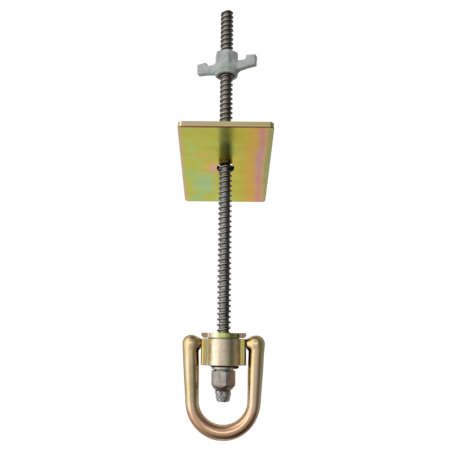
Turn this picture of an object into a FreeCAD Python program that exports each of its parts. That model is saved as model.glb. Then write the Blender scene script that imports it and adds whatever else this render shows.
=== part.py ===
import FreeCAD, Part
import math
import os

from FreeCAD import Vector

# Through-deck swivel roof anchor: a coil-thread rod with a wing nut and a loose bearing plate above,
# and a swivel housing with a forged bail below.
# Frame: millimetres, +Z up along the rod. The origin is the centre of the flange's top face, which
# bears on the underside of the deck. -Y is the front, X runs along the bail's trunnion pins.

# Coil rod
ROD_TOP = 389.5
ROD_BOTTOM = -60.4
THREAD_PITCH = 6.0
THREAD_MAJOR_R = 7.9
THREAD_ROOT_R = 5.8
CREST_HALF_TURN = 0.105
FLANK_END_TURN = 0.25
CREST_CROWN = 0.15
PROFILE_POINTS = 40
PATCHES_PER_TURN = 4
ROD_END_CHAMFER = 1.3
STUB_R = 5.4
STUB_LENGTH = 9.8

# Clearance of every hole the rod runs through
ROD_BORE_R = 8.0

# Wing nut
NUT_BOTTOM = 304.8
NUT_TOP = 333.6
NUT_FLATS = 25.4
NUT_SHOULDER = 317.5
NUT_COLLAR_R = 13.5
NUT_RECESS_R = 10.2
NUT_RECESS_DEPTH = 3.4
WING_YAW = -22.0
WING_REACH = 38.0
WING_THICK = 7.4
WING_TIP_LENGTH = 12.2
WING_TIP_TOP = 325.5
WING_TIP_RISE = 1.2
WING_ARM_TOP = 321.4
WING_ROOT_BOTTOM = 309.8
WING_TIP_BOTTOM = 312.4
WING_CORNER_R = 1.5

# Bearing plate: about 4 in by 5 3/4 in by 5/16 in with a 3/4 in hole, hanging askew on the thread
PLATE_WIDTH = 102.6
PLATE_DEPTH = 145.4
PLATE_THICK = 7.9
PLATE_HOLE_R = 9.7
PLATE_HOLE_CHAMFER = 0.5
PLATE_CORNER_R = 4.5
PLATE_EDGE_CHAMFER = 0.5
PLATE_CENTRE_Z = 192.8
PLATE_TILT = -19.5

# Flanged bushing
FLANGE_THICK = 5.3
FLANGE_HALF_WIDTH = 24.4
FLANGE_TAB_HALF_DEPTH = 8.2
FLANGE_CENTRE_R = 18.6
FLANGE_RIM = 3.2
FLANGE_BEVEL = 2.5
SLEEVE_R = 12.5
SLEEVE_BOTTOM = -39.8
RING_GROOVE_TOP = -34.8
RING_GROOVE_WIDTH = 1.15
RING_GROOVE_R = 11.7
SLEEVE_LIP_R = 13.6
SLEEVE_LIP_BOTTOM = -38.7
SLEEVE_END_R = 11.4

# Upper washer between flange and housing
WASHER_TOP = -5.35
WASHER_THICK = 0.75
WASHER_R = 17.4

# Swivel housing
HOUSING_TOP = -6.3
HOUSING_BOTTOM = -34.5
BARREL_R = 18.4
BARREL_CHAMFER = 0.8
EAR_HALF_WIDTH = 24.6
EAR_HALF_DEPTH = 7.8
EAR_EDGE_R = 2.0
HOUSING_BORE_R = 12.58

# Bail with its trunnion pins
PIN_Z = -11.0
PIN_R = 4.2
PIN_BORE_R = 4.28
PIN_TIP_X = 14.3
PIN_TIP_CHAMFER = 0.8
PIN_BORE_END_X = 13.9
KNUCKLE_X = 36.3
KNUCKLE_R = 9.0
SHOULDER_START_X = 24.95
SHOULDER_END_X = 30.5
SHOULDER_START_R = 5.6
SHOULDER_END_R = 8.5
SHOULDER_DROP = 0.7
KNUCKLE_DROP = 0.5
BOW_RADIUS = 33.5
BOW_CENTRE_Z = -71.3
# Leg sections from the knuckle down: height, centreline X, radius
LEG_SECTIONS = [(-12.0, 36.2, 8.5), (-24.0, 35.65, 8.5), (-36.0, 35.1, 8.4), (-48.0, 34.5, 8.1), (-60.0, 33.9, 7.5)]
BOW_SIDE_R = 7.1
BOW_BOTTOM_R = 8.1
BOW_STEPS = 12

# Retaining ring
RING_TOP = -34.9
RING_THICK = 1.0
RING_INNER_R = 11.9
RING_OUTER_R = 14.8
RING_GAP_ANGLE = -12.0
RING_GAP_HALF_ANGLE = 9.0
LUG_RADIAL = 15.0
LUG_R = 1.7
LUG_DROP = 2.0

# Hex nut
HEX_TOP = -40.0
HEX_BOTTOM = -60.2
HEX_FLATS = 23.8
HEX_VERTEX_ANGLE = -16.0
HEX_TOP_CHAMFER = 1.0
HEX_CONE_TOP = -54.6
HEX_CONE_END_R = 9.6

# Weld cap on the rod's lower end
WELD_TOP = -60.5
WELD_BOTTOM = -73.0
WELD_PROFILE = [(7.9, -60.5), (8.9, -62.1), (8.8, -64.2), (8.4, -66.8), (7.9, -69.4), (7.3, -71.8), (6.2, -73.0)]
WELD_LUMPS = [(-70, -63.0, 2.1), (15, -65.9, 2.1), (130, -63.4, 2.2), (-150, -66.6, 2.1), (-35, -68.2, 1.8)]
STUB_FIT_R = 5.42

Z_AXIS = Vector(0, 0, 1)
ORIGIN = Vector(0, 0, 0)


def cylinder(radius, z_from, z_to):
    return Part.makeCylinder(radius, z_to - z_from, Vector(0, 0, z_from))


def revolved(points):
    """Solid of revolution about Z from (radius, z) points, closed onto the axis."""
    outline = [Vector(r, 0, z) for r, z in points]
    wire = Part.makePolygon([Vector(0, 0, points[0][1])] + outline + [Vector(0, 0, points[-1][1])])
    closed = Part.Wire(wire.Edges + [Part.makeLine(Vector(0, 0, points[-1][1]), Vector(0, 0, points[0][1]))])
    return Part.Face(closed).revolve(ORIGIN, Z_AXIS, 360)


def hexagon(flats, vertex_angle, z_from, z_to):
    radius = flats / 2 / math.cos(math.radians(30))
    corners = []
    for k in range(7):
        a = math.radians(vertex_angle + 60 * k)
        corners.append(Vector(radius * math.cos(a), radius * math.sin(a), z_from))
    return Part.Face(Part.makePolygon(corners)).extrude(Vector(0, 0, z_to - z_from))


def turned(shape, angle):
    copy = shape.copy()
    copy.rotate(ORIGIN, Z_AXIS, angle)
    return copy


def mirrored_pair(shape):
    """The shape and its half turn about the rod's axis."""
    return [shape, turned(shape, 180)]


def thread_radius(turn):
    """Radius of the coil rod's cross-section at this fraction of a turn from the crest."""
    turn = abs((turn + 0.5) % 1 - 0.5)
    if turn < CREST_HALF_TURN:
        return THREAD_MAJOR_R - CREST_CROWN * (turn / CREST_HALF_TURN) ** 2
    if turn > FLANK_END_TURN:
        return THREAD_ROOT_R
    s = (turn - CREST_HALF_TURN) / (FLANK_END_TURN - CREST_HALF_TURN)
    s = s * s * (3 - 2 * s)
    return (THREAD_MAJOR_R - CREST_CROWN) * (1 - s) + THREAD_ROOT_R * s


def threaded_bar(z_from, turns):
    """Right-hand coil thread: the cross-section carried up the axis and twisted one turn a pitch.

    The side is built as equal patches of a quarter turn, each the first one turned and lifted.
    """
    points = []
    for k in range(PROFILE_POINTS):
        a = 2 * math.pi * k / PROFILE_POINTS
        r = thread_radius(k / PROFILE_POINTS)
        points.append(Vector(r * math.cos(a), r * math.sin(a), 0))
    section = Part.BSplineCurve()
    section.interpolate(points, PeriodicFlag=True)
    section = Part.Wire([section.toShape()])
    rise = THREAD_PITCH / PATCHES_PER_TURN
    sweep = Part.BRepOffsetAPI.MakePipeShell(Part.Wire([Part.makeLine(ORIGIN, Vector(0, 0, rise))]))
    helix = Part.makeHelix(THREAD_PITCH, rise, THREAD_MAJOR_R)
    sweep.setAuxiliarySpine(Part.Wire(helix.Edges), False, 0)
    sweep.add(section)
    sweep.build()
    patch = sweep.shape().Faces[0]
    faces = []
    for k in range(turns * PATCHES_PER_TURN):
        face = turned(patch, 360.0 * k / PATCHES_PER_TURN)
        face.translate(Vector(0, 0, z_from + k * rise))
        faces.append(face)
    for z in (z_from, z_from + turns * THREAD_PITCH):
        cap = Part.Face(section)
        cap.translate(Vector(0, 0, z))
        faces.append(cap)
    shell = Part.makeShell(faces)
    shell.sewShape(1e-4)
    return Part.makeSolid(shell)


def coil_rod():
    turns = math.ceil((ROD_TOP - ROD_BOTTOM) / THREAD_PITCH) + 1
    bar = threaded_bar(ROD_BOTTOM, turns)
    chamfer_r = THREAD_MAJOR_R + 0.5 - ROD_END_CHAMFER
    envelope = revolved([
        (THREAD_MAJOR_R + 1, ROD_BOTTOM),
        (THREAD_MAJOR_R + 1, ROD_TOP - ROD_END_CHAMFER - 0.5),
        (chamfer_r, ROD_TOP),
    ])
    stub = cylinder(STUB_R, ROD_BOTTOM - STUB_LENGTH, ROD_BOTTOM + 1.0)
    return bar.common(envelope).fuse(stub)


def wing():
    """One wing along +X: an arm under a taller square tip, drawn in side view and given its thickness."""
    tip_in = WING_REACH - WING_TIP_LENGTH
    outline = [
        (9.0, WING_ROOT_BOTTOM),
        (15.0, WING_ROOT_BOTTOM),
        (tip_in, WING_TIP_BOTTOM - 0.6),
        (WING_REACH - WING_CORNER_R, WING_TIP_BOTTOM),
        (WING_REACH, WING_TIP_BOTTOM + WING_CORNER_R),
        (WING_REACH, WING_TIP_TOP - WING_CORNER_R),
        (WING_REACH - WING_CORNER_R, WING_TIP_TOP),
        (tip_in + WING_CORNER_R, WING_TIP_TOP + WING_TIP_RISE),
        (tip_in, WING_TIP_TOP + WING_TIP_RISE - WING_CORNER_R),
        (tip_in - 0.6, WING_ARM_TOP + 1.6),
        (tip_in - 2.4, WING_ARM_TOP),
        (16.5, WING_ARM_TOP),
        (14.0, WING_ARM_TOP + 1.4),
        (9.0, WING_ARM_TOP + 1.4),
    ]
    points = [Vector(x, -WING_THICK / 2, z) for x, z in outline]
    blade = Part.Face(Part.makePolygon(points + [points[0]])).extrude(Vector(0, WING_THICK, 0))
    # the arm swells towards the hub
    root = [Vector(x, y, WING_ROOT_BOTTOM) for x, y in ((8, -9.5), (13, -8.2), (24, -3.6), (24, 3.6), (13, 8.2), (8, 9.5))]
    swell = Part.Face(Part.makePolygon(root + [root[0]])).extrude(Vector(0, 0, 8.6))
    return blade.fuse(swell)


def wing_nut():
    vertex_r = NUT_FLATS / 2 / math.cos(math.radians(30))
    hub = hexagon(NUT_FLATS, WING_YAW, NUT_BOTTOM + 4, NUT_TOP)
    crown = revolved([(vertex_r + 1, NUT_BOTTOM), (vertex_r + 1, NUT_TOP - 1.4), (vertex_r - 1.1, NUT_TOP)])
    hub = hub.common(crown)
    skirt = revolved([
        (NUT_COLLAR_R - 0.9, NUT_BOTTOM),
        (NUT_COLLAR_R, NUT_BOTTOM + 0.9),
        (NUT_COLLAR_R, NUT_BOTTOM + 3.2),
        (vertex_r + 0.3, NUT_BOTTOM + 6.4),
        (vertex_r + 0.3, NUT_SHOULDER - 3.0),
        (vertex_r - 1.8, NUT_SHOULDER),
    ])
    body = hub.fuse(skirt)
    for blade in mirrored_pair(turned(wing(), WING_YAW)):
        body = body.fuse(blade)
    body = body.cut(cylinder(ROD_BORE_R, NUT_BOTTOM - 1, NUT_TOP + 1))
    recess = revolved([
        (NUT_RECESS_R, NUT_BOTTOM - 0.1),
        (NUT_RECESS_R - 0.6, NUT_BOTTOM + NUT_RECESS_DEPTH),
    ])
    return body.cut(recess).removeSplitter()


def bearing_plate():
    half = PLATE_THICK / 2
    plate = Part.makeBox(
        PLATE_WIDTH, PLATE_DEPTH, PLATE_THICK, Vector(-PLATE_WIDTH / 2, -PLATE_DEPTH / 2, -half)
    )
    upright = [e for e in plate.Edges if abs(e.Vertexes[0].Z - e.Vertexes[1].Z) > PLATE_THICK / 2]
    plate = plate.makeFillet(PLATE_CORNER_R, upright)
    flat = [e for e in plate.Edges if e.BoundBox.ZLength < 0.01]
    plate = plate.makeChamfer(PLATE_EDGE_CHAMFER, flat)
    hole = revolved([
        (PLATE_HOLE_R + PLATE_HOLE_CHAMFER + 0.5, -half - 0.5),
        (PLATE_HOLE_R, -half + PLATE_HOLE_CHAMFER),
        (PLATE_HOLE_R, half - PLATE_HOLE_CHAMFER),
        (PLATE_HOLE_R + PLATE_HOLE_CHAMFER + 0.5, half + 0.5),
    ])
    plate = plate.cut(hole)
    plate.rotate(ORIGIN, Vector(1, 0, 0), PLATE_TILT)
    plate.translate(Vector(0, 0, PLATE_CENTRE_Z))
    return plate


def flanged_bushing():
    """Sleeve through the housing under a flange with a round middle and two bevelled tabs."""
    w = FLANGE_HALF_WIDTH
    side = [
        (-w, 0),
        (w, 0),
        (w, -FLANGE_RIM),
        (w - FLANGE_BEVEL, -FLANGE_THICK),
        (-w + FLANGE_BEVEL, -FLANGE_THICK),
        (-w, -FLANGE_RIM),
    ]
    points = [Vector(x, -FLANGE_TAB_HALF_DEPTH, z) for x, z in side]
    bar = Part.Face(Part.makePolygon(points + [points[0]])).extrude(Vector(0, 2 * FLANGE_TAB_HALF_DEPTH, 0))
    disc = revolved([
        (FLANGE_CENTRE_R, -FLANGE_THICK),
        (FLANGE_CENTRE_R, -0.7),
        (FLANGE_CENTRE_R - 0.7, 0),
    ])
    sleeve = revolved([
        (SLEEVE_END_R, SLEEVE_BOTTOM),
        (SLEEVE_END_R, SLEEVE_LIP_BOTTOM),
        (SLEEVE_LIP_R - 0.8, SLEEVE_LIP_BOTTOM),
        (SLEEVE_LIP_R, SLEEVE_LIP_BOTTOM + 0.8),
        (SLEEVE_LIP_R, RING_GROOVE_TOP - RING_GROOVE_WIDTH),
        (RING_GROOVE_R, RING_GROOVE_TOP - RING_GROOVE_WIDTH),
        (RING_GROOVE_R, RING_GROOVE_TOP),
        (SLEEVE_R, RING_GROOVE_TOP),
        (SLEEVE_R, -1.0),
    ])
    body = bar.fuse(disc).fuse(sleeve)
    return body.cut(cylinder(ROD_BORE_R, SLEEVE_BOTTOM - 1, 1)).removeSplitter()


def upper_washer():
    ring = cylinder(WASHER_R, WASHER_TOP - WASHER_THICK, WASHER_TOP)
    return ring.cut(cylinder(HOUSING_BORE_R, WASHER_TOP - WASHER_THICK - 1, WASHER_TOP + 1))


def swivel_housing():
    barrel = revolved([
        (BARREL_R - BARREL_CHAMFER, HOUSING_BOTTOM),
        (BARREL_R, HOUSING_BOTTOM + BARREL_CHAMFER),
        (BARREL_R, HOUSING_TOP - BARREL_CHAMFER),
        (BARREL_R - BARREL_CHAMFER, HOUSING_TOP),
    ])
    ears = Part.makeBox(
        2 * EAR_HALF_WIDTH,
        2 * EAR_HALF_DEPTH,
        HOUSING_TOP - HOUSING_BOTTOM,
        Vector(-EAR_HALF_WIDTH, -EAR_HALF_DEPTH, HOUSING_BOTTOM),
    )
    outer = [e for e in ears.Edges if abs(e.CenterOfMass.x) > EAR_HALF_WIDTH - 0.01]
    upright = [e for e in outer if e.BoundBox.ZLength > 1]
    ears = ears.makeFillet(EAR_EDGE_R, upright)
    body = barrel.fuse(ears)
    body = body.cut(cylinder(HOUSING_BORE_R, HOUSING_BOTTOM - 1, HOUSING_TOP + 1))
    for side in (-1, 1):
        bore = Part.makeCylinder(
            PIN_BORE_R,
            EAR_HALF_WIDTH - PIN_BORE_END_X + 1,
            Vector(side * PIN_BORE_END_X, 0, PIN_Z),
            Vector(side, 0, 0),
        )
        body = body.cut(bore)
    return body.removeSplitter()


def round_section(x, z, angle, radius):
    """Circle across the bail's centreline, which runs at this angle round the bow."""
    section = Part.Wire([Part.makeCircle(radius)])
    section.rotate(ORIGIN, Vector(0, 1, 0), -angle)
    section.translate(Vector(x, 0, z))
    return section


def bail():
    """Forged bail: two tapering legs, a bow that is thickest at the bottom, and inward trunnion pins."""
    sections = [round_section(-x, z, 180, r) for z, x, r in LEG_SECTIONS]
    for k in range(BOW_STEPS + 1):
        angle = 180 + 180 * k / BOW_STEPS
        a = math.radians(angle)
        radius = BOW_SIDE_R + (BOW_BOTTOM_R - BOW_SIDE_R) * math.sin(a) ** 2
        x = BOW_RADIUS * math.cos(a)
        sections.append(round_section(x, BOW_CENTRE_Z + BOW_RADIUS * math.sin(a), angle, radius))
    sections += [round_section(x, z, 360, r) for z, x, r in reversed(LEG_SECTIONS)]
    body = Part.makeLoft(sections, True, False)
    for side in (-1, 1):
        out = Vector(side, 0, 0)
        body = body.fuse(Part.makeSphere(KNUCKLE_R, Vector(side * KNUCKLE_X, 0, PIN_Z - KNUCKLE_DROP)))
        tip = Part.makeCone(
            PIN_R - PIN_TIP_CHAMFER, PIN_R, PIN_TIP_CHAMFER, Vector(side * PIN_TIP_X, 0, PIN_Z), out
        )
        shank_start = PIN_TIP_X + PIN_TIP_CHAMFER
        shank = Part.makeCylinder(PIN_R, KNUCKLE_X - shank_start, Vector(side * shank_start, 0, PIN_Z), out)
        shoulder = Part.makeCone(
            SHOULDER_START_R,
            SHOULDER_END_R,
            SHOULDER_END_X - SHOULDER_START_X,
            Vector(side * SHOULDER_START_X, 0, PIN_Z - SHOULDER_DROP),
            out,
        )
        body = body.fuse(tip).fuse(shank).fuse(shoulder)
    return body


def retaining_ring():
    """Open snap ring in the sleeve's groove, with its two lugs either side of the gap."""
    bottom = RING_TOP - RING_THICK
    ring = cylinder(RING_OUTER_R, bottom, RING_TOP).cut(cylinder(RING_INNER_R, bottom - 1, RING_TOP + 1))
    reach = 30.0
    a = math.radians(RING_GAP_HALF_ANGLE)
    corners = [
        Vector(0, 0, bottom - 1),
        Vector(reach * math.cos(a), -reach * math.sin(a), bottom - 1),
        Vector(reach * math.cos(a), reach * math.sin(a), bottom - 1),
    ]
    gap = Part.Face(Part.makePolygon(corners + [corners[0]])).extrude(Vector(0, 0, RING_THICK + 2))
    ring = ring.cut(gap)
    lug_angle = math.radians(RING_GAP_HALF_ANGLE) + LUG_R / LUG_RADIAL
    for side in (-1, 1):
        low = bottom - LUG_DROP
        centre = Vector(LUG_RADIAL * math.cos(lug_angle), side * LUG_RADIAL * math.sin(lug_angle), low)
        lug = Part.makeCylinder(LUG_R, RING_THICK + LUG_DROP, centre).cut(
            cylinder(SLEEVE_LIP_R + 0.15, low - 1, bottom))
        ring = ring.fuse(lug)
        ring = ring.cut(Part.makeCylinder(0.6, RING_THICK + LUG_DROP + 2, centre - Vector(0, 0, 1)))
    return turned(ring.removeSplitter(), RING_GAP_ANGLE)


def hex_nut():
    vertex_r = HEX_FLATS / 2 / math.cos(math.radians(30))
    body = hexagon(HEX_FLATS, HEX_VERTEX_ANGLE, HEX_BOTTOM, HEX_TOP)
    envelope = revolved([
        (HEX_CONE_END_R, HEX_BOTTOM),
        (vertex_r + 0.1, HEX_CONE_TOP),
        (vertex_r + 0.1, HEX_TOP - HEX_TOP_CHAMFER),
        (HEX_FLATS / 2 - 0.2, HEX_TOP),
    ])
    return body.common(envelope).cut(cylinder(ROD_BORE_R, HEX_BOTTOM - 1, HEX_TOP + 1))


def end_weld():
    """Weld metal that caps the rod's end and keeps the nut from running off."""
    body = revolved(list(reversed(WELD_PROFILE)))
    for angle, z, radius in WELD_LUMPS:
        a = math.radians(angle)
        lump = Part.makeSphere(radius, Vector(6.7 * math.cos(a), 6.7 * math.sin(a), z))
        body = body.fuse(lump)
    body = body.common(cylinder(12, WELD_BOTTOM, WELD_TOP))
    stub_end = ROD_BOTTOM - STUB_LENGTH - 0.02
    return body.cut(cylinder(STUB_FIT_R, stub_end, WELD_TOP + 1)).removeSplitter()


NODES = {
    "coil_rod": coil_rod,
    "wing_nut": wing_nut,
    "bearing_plate": bearing_plate,
    "flanged_bushing": flanged_bushing,
    "upper_washer": upper_washer,
    "swivel_housing": swivel_housing,
    "bail": bail,
    "retaining_ring": retaining_ring,
    "hex_nut": hex_nut,
    "end_weld": end_weld,
}

os.makedirs("parts", exist_ok=True)
for name, make in NODES.items():
    shape = make()
    solids = shape.Solids
    if len(solids) != 1 or not shape.isValid():
        raise SystemExit("%s: %d solids, valid %s" % (name, len(solids), shape.isValid()))
    solids[0].exportStep("parts/%s.step" % name)
    box = shape.BoundBox
    print("%-16s %8.1f mm3  x %.2f..%.2f  y %.2f..%.2f  z %.2f..%.2f" % (
        name, shape.Volume, box.XMin, box.XMax, box.YMin, box.YMax, box.ZMin, box.ZMax))
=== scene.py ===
import math

import bpy
import numpy as np
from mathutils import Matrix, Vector


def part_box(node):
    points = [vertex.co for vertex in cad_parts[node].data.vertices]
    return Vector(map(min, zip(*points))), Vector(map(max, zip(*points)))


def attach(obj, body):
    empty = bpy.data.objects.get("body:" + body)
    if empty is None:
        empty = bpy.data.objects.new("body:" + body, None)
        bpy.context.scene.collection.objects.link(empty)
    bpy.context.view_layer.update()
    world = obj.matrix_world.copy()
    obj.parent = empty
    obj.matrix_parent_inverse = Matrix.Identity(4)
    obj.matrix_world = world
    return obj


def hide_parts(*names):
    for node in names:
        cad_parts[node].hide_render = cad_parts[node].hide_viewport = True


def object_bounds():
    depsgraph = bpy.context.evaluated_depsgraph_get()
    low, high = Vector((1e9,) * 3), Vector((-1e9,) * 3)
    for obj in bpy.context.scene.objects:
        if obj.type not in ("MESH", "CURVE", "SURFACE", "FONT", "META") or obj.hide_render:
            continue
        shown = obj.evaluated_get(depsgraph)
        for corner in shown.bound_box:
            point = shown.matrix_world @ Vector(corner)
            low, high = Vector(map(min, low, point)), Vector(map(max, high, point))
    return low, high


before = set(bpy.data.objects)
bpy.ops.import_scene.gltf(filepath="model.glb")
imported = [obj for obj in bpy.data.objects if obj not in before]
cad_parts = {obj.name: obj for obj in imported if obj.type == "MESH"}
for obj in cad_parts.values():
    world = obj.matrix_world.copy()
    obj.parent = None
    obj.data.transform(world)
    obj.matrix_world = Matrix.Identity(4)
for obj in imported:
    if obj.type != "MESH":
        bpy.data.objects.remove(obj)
CAD_BOX = [list(corner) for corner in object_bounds()]

MM = 0.001  # metres in a millimetre
COARSE = 1.0


# ---------------------------------------------------------------- shapes as distance fields (millimetres)

def smooth_union(a, b, k):
    """The two solids together, the corner between them filled over a distance of about k."""
    h = np.clip(0.5 + 0.5 * (b - a) / k, 0, 1)
    return b + (a - b) * h - k * h * (1 - h)


def smooth_meet(a, b, k):
    """What the two solids share, its new corner rounded over k."""
    return -smooth_union(-a, -b, k)


def smooth_cut(a, b, k):
    """The first solid without the second, the cut's edge rounded over k."""
    return smooth_meet(a, -b, k)


def rounded_box(x, y, z, half, radius):
    """A box about the origin with these half sizes, its edges rounded within them."""
    qx = np.abs(x) - half[0] + radius
    qy = np.abs(y) - half[1] + radius
    qz = np.abs(z) - half[2] + radius
    outside = np.sqrt(np.maximum(qx, 0) ** 2 + np.maximum(qy, 0) ** 2 + np.maximum(qz, 0) ** 2)
    return outside + np.minimum(np.maximum(np.maximum(qx, qy), qz), 0) - radius


def polygon(u, v, points):
    """Signed distance in a plane to a closed outline, negative inside."""
    best = np.full(np.shape(u), 1e9)
    inside = np.zeros(np.shape(u), bool)
    for (ax, ay), (bx, by) in zip(points, points[1:] + points[:1]):
        ex, ey = bx - ax, by - ay
        wx, wy = u - ax, v - ay
        t = np.clip((wx * ex + wy * ey) / (ex * ex + ey * ey), 0, 1)
        best = np.minimum(best, (wx - ex * t) ** 2 + (wy - ey * t) ** 2)
        if ay != by:
            crosses = ((ay > v) != (by > v)) & (u < ex * (v - ay) / ey + ax)
            inside ^= crosses
    distance = np.sqrt(best)
    return np.where(inside, -distance, distance)


def turned_profile(x, y, z, points, radius=0.0):
    """Solid of revolution about Z from (radius, z) points; radius rounds its corners outwards."""
    return polygon(np.hypot(x, y), z, points) - radius


def rounded_slab(outline, side, radius=0.0):
    """An outline's distance given a thickness by side, its corners rounded outwards by radius."""
    outside = np.hypot(np.maximum(outline, 0), np.maximum(side, 0))
    return outside + np.minimum(np.maximum(outline, side), 0) - radius


def cylinder(x, y, z, r, low, high, radius):
    """A cylinder about Z between two heights, radius rounding its edges within its size."""
    side = np.hypot(x, y) - r + radius
    ends = np.maximum(low - z, z - high) + radius
    return rounded_slab(side, ends, radius)


def hexagon(x, y, flats, vertex_angle, k):
    """Distance in plan to a hexagon of this size across flats, its corners rounded over k."""
    distance = None
    for n in range(6):
        a = math.radians(vertex_angle + 30 + 60 * n)
        side = x * math.cos(a) + y * math.sin(a) - flats / 2
        distance = side if distance is None else smooth_meet(distance, side, k)
    return distance


def wobble(x, y, z, seed, size, amount):
    """Smooth bumps of about this size, the same each run."""
    rng = np.random.default_rng(seed)
    total = 0
    for _ in range(7):
        d = rng.normal(size=3)
        d /= np.linalg.norm(d)
        w = 2 * math.pi / (size * rng.uniform(0.7, 1.5))
        total = total + np.sin((x * d[0] + y * d[1] + z * d[2]) * w + rng.uniform(0, 6.28))
    return total * amount / 2.6


DRAWS = 3  # how many times the points are drawn towards the surface
SLOPE_REACH = 0.15  # how far apart the field is read for its slope, as a share of the grid's step
LONGEST_DRAW = 0.6  # the most a point moves at once, as a share of the step
LEAST_SLOPE_SQUARED = 0.25


def onto_surface(field, points, step):
    """The points drawn onto the surface where the field is zero, and the field's slope there."""
    eps = step * SLOPE_REACH
    for _ in range(DRAWS):
        x, y, z = points.T
        here = field(x, y, z)
        slope = np.stack([
            field(x + eps, y, z) - field(x - eps, y, z),
            field(x, y + eps, z) - field(x, y - eps, z),
            field(x, y, z + eps) - field(x, y, z - eps),
        ], 1) / (2 * eps)
        move = here[:, None] * slope / np.maximum((slope ** 2).sum(1), LEAST_SLOPE_SQUARED)[:, None]
        length = np.linalg.norm(move, axis=1)
        move *= np.minimum(1, LONGEST_DRAW * step / np.maximum(length, 1e-9))[:, None]
        points = points - move
    return points, slope


def surface_net(field, low, high, step):
    """Quad mesh of the surface where field(x, y, z) is zero, with one vertex in each cell it crosses."""
    counts = [int(math.ceil((b - a) / step)) + 1 for a, b in zip(low, high)]
    axes = [a + step * np.arange(n) for a, n in zip(low, counts)]
    values = field(*np.meshgrid(*axes, indexing="ij"))
    inside = values < 0
    nx, ny, nz = (n - 1 for n in counts)
    total = np.zeros((nx, ny, nz), np.int8)
    for i, j, k in np.ndindex(2, 2, 2):
        total += inside[i:nx + i, j:ny + j, k:nz + k]
    active = (total > 0) & (total < 8)
    cells = np.argwhere(active)
    number = np.full(active.shape, -1, np.int64)
    number[active] = np.arange(len(cells))
    sums = np.zeros((len(cells), 3))
    hits = np.zeros(len(cells))
    for axis in range(3):
        others = [a for a in range(3) if a != axis]
        for b, c in np.ndindex(2, 2):
            start = cells.copy()
            start[:, others[0]] += b
            start[:, others[1]] += c
            end = start.copy()
            end[:, axis] += 1
            v0 = values[tuple(start.T)]
            v1 = values[tuple(end.T)]
            hit = (v0 < 0) != (v1 < 0)
            t = np.where(hit, v0 / np.where(hit, v0 - v1, 1), 0)
            point = start.astype(float)
            point[:, axis] += t
            sums += point * hit[:, None]
            hits += hit
    points = np.array(low) + sums / hits[:, None] * step
    faces = []
    for axis in range(3):  # a face across each grid edge that the surface crosses, along this axis
        u, v = (axis + 1) % 3, (axis + 2) % 3
        first = [slice(None)] * 3
        second = [slice(None)] * 3
        first[axis] = slice(0, -1)
        second[axis] = slice(1, None)
        a, b = inside[tuple(first)], inside[tuple(second)]
        edges = np.argwhere(a != b)
        size = [nx, ny, nz]
        keep = (edges[:, u] > 0) & (edges[:, u] < size[u]) & (edges[:, v] > 0) & (edges[:, v] < size[v])
        edges = edges[keep]
        ring = []
        for du, dv in ((-1, -1), (0, -1), (0, 0), (-1, 0)):
            cell = edges.copy()
            cell[:, u] += du
            cell[:, v] += dv
            ring.append(number[tuple(cell.T)])
        ring = np.stack(ring, 1)
        outward = a[tuple(edges.T)]
        ring[~outward] = ring[~outward][:, ::-1]
        faces.append(ring)
    points, slope = onto_surface(field, points, step)
    return points, np.concatenate(faces), slope


def piece(name, body, points, faces, replaced, material, normals=None):
    """Makes an object in metres from millimetre points, riding on a CAD body in place of CAD nodes."""
    mesh = bpy.data.meshes.new(name)
    mesh.from_pydata((np.asarray(points) * MM).tolist(), [], [list(map(int, f)) for f in faces])
    mesh.validate()
    mesh.shade_smooth()
    if normals is not None:
        mesh.normals_split_custom_set_from_vertices(normals.tolist())
    obj = bpy.data.objects.new(name, mesh)
    bpy.context.scene.collection.objects.link(obj)
    mesh.materials.append(material)
    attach(obj, body)
    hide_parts(*replaced)


def cad_corners(node):
    """The low and high corners of a CAD node's box, in millimetres."""
    return [np.array(corner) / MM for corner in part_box(node)]


def cad_heights(node):
    """A CAD node's lowest and highest points, in millimetres."""
    return [corner.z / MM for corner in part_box(node)]


def inside_box(points, node):
    """The points held inside that CAD node's box."""
    return np.clip(points, *cad_corners(node))


def span(node, pad=0.8):
    """Corners of the space searched for a piece's surface, a little wider than its CAD node."""
    low, high = cad_corners(node)
    return low - pad, high + pad


# ---------------------------------------------------------------- main measures (millimetres)

ROD_HIGH = cad_heights("coil_rod")[1]
NUT_LOW, NUT_HIGH = cad_heights("wing_nut")
HOUSING_LOW, HOUSING_HIGH = cad_heights("swivel_housing")
SLEEVE_LOW, FLANGE_HIGH = cad_heights("flanged_bushing")
HEX_LOW, HEX_HIGH = cad_heights("hex_nut")
WELD_HIGH = cad_heights("end_weld")[1]

BORE_R = 8.0  # wing nut, hex nut and bushing
PITCH = 6.0
THREAD_START = -60.4  # a height at which a crest faces +X
MAJOR_R = 7.9
ROOT_R = 5.8

WING_TURN = -22.0  # degrees the wings are turned from X
WING_YAW = math.radians(WING_TURN)
HUB_FLATS = 25.4
HUB_CORNER_R = 14.66
HEX_FLATS = 23.8
HEX_TURN = -16.0

PIN_Z = -11.0
PIN_R = 4.2
PIN_END = 14.3  # how near to the axis the pins reach
PIN_HOLE_R = 4.32
PIN_HOLE_END = 13.9
LEG_TOP = (36.3, PIN_Z - 0.5)  # x and z of the leg's centre line
LEG_FOOT = (33.5, -71.3)
LEG_FOOT_R = 7.1
EYE_FACE = 25.05  # x of the bail's inner faces, which run beside the ears
EYE_DROP = 20  # how far below the pins the eyes reach

BARREL_R = 18.4
SLEEVE_HOLE_R = 12.58
EAR_REACH = 24.6
EAR_HALF = 7.8
EAR_ROUND = 2.6
FLANGE_R = 18.6
FLANGE_LOW = -5.3
TAB_HALF = 7.9


# ---------------------------------------------------------------- the pieces' shapes


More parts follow.
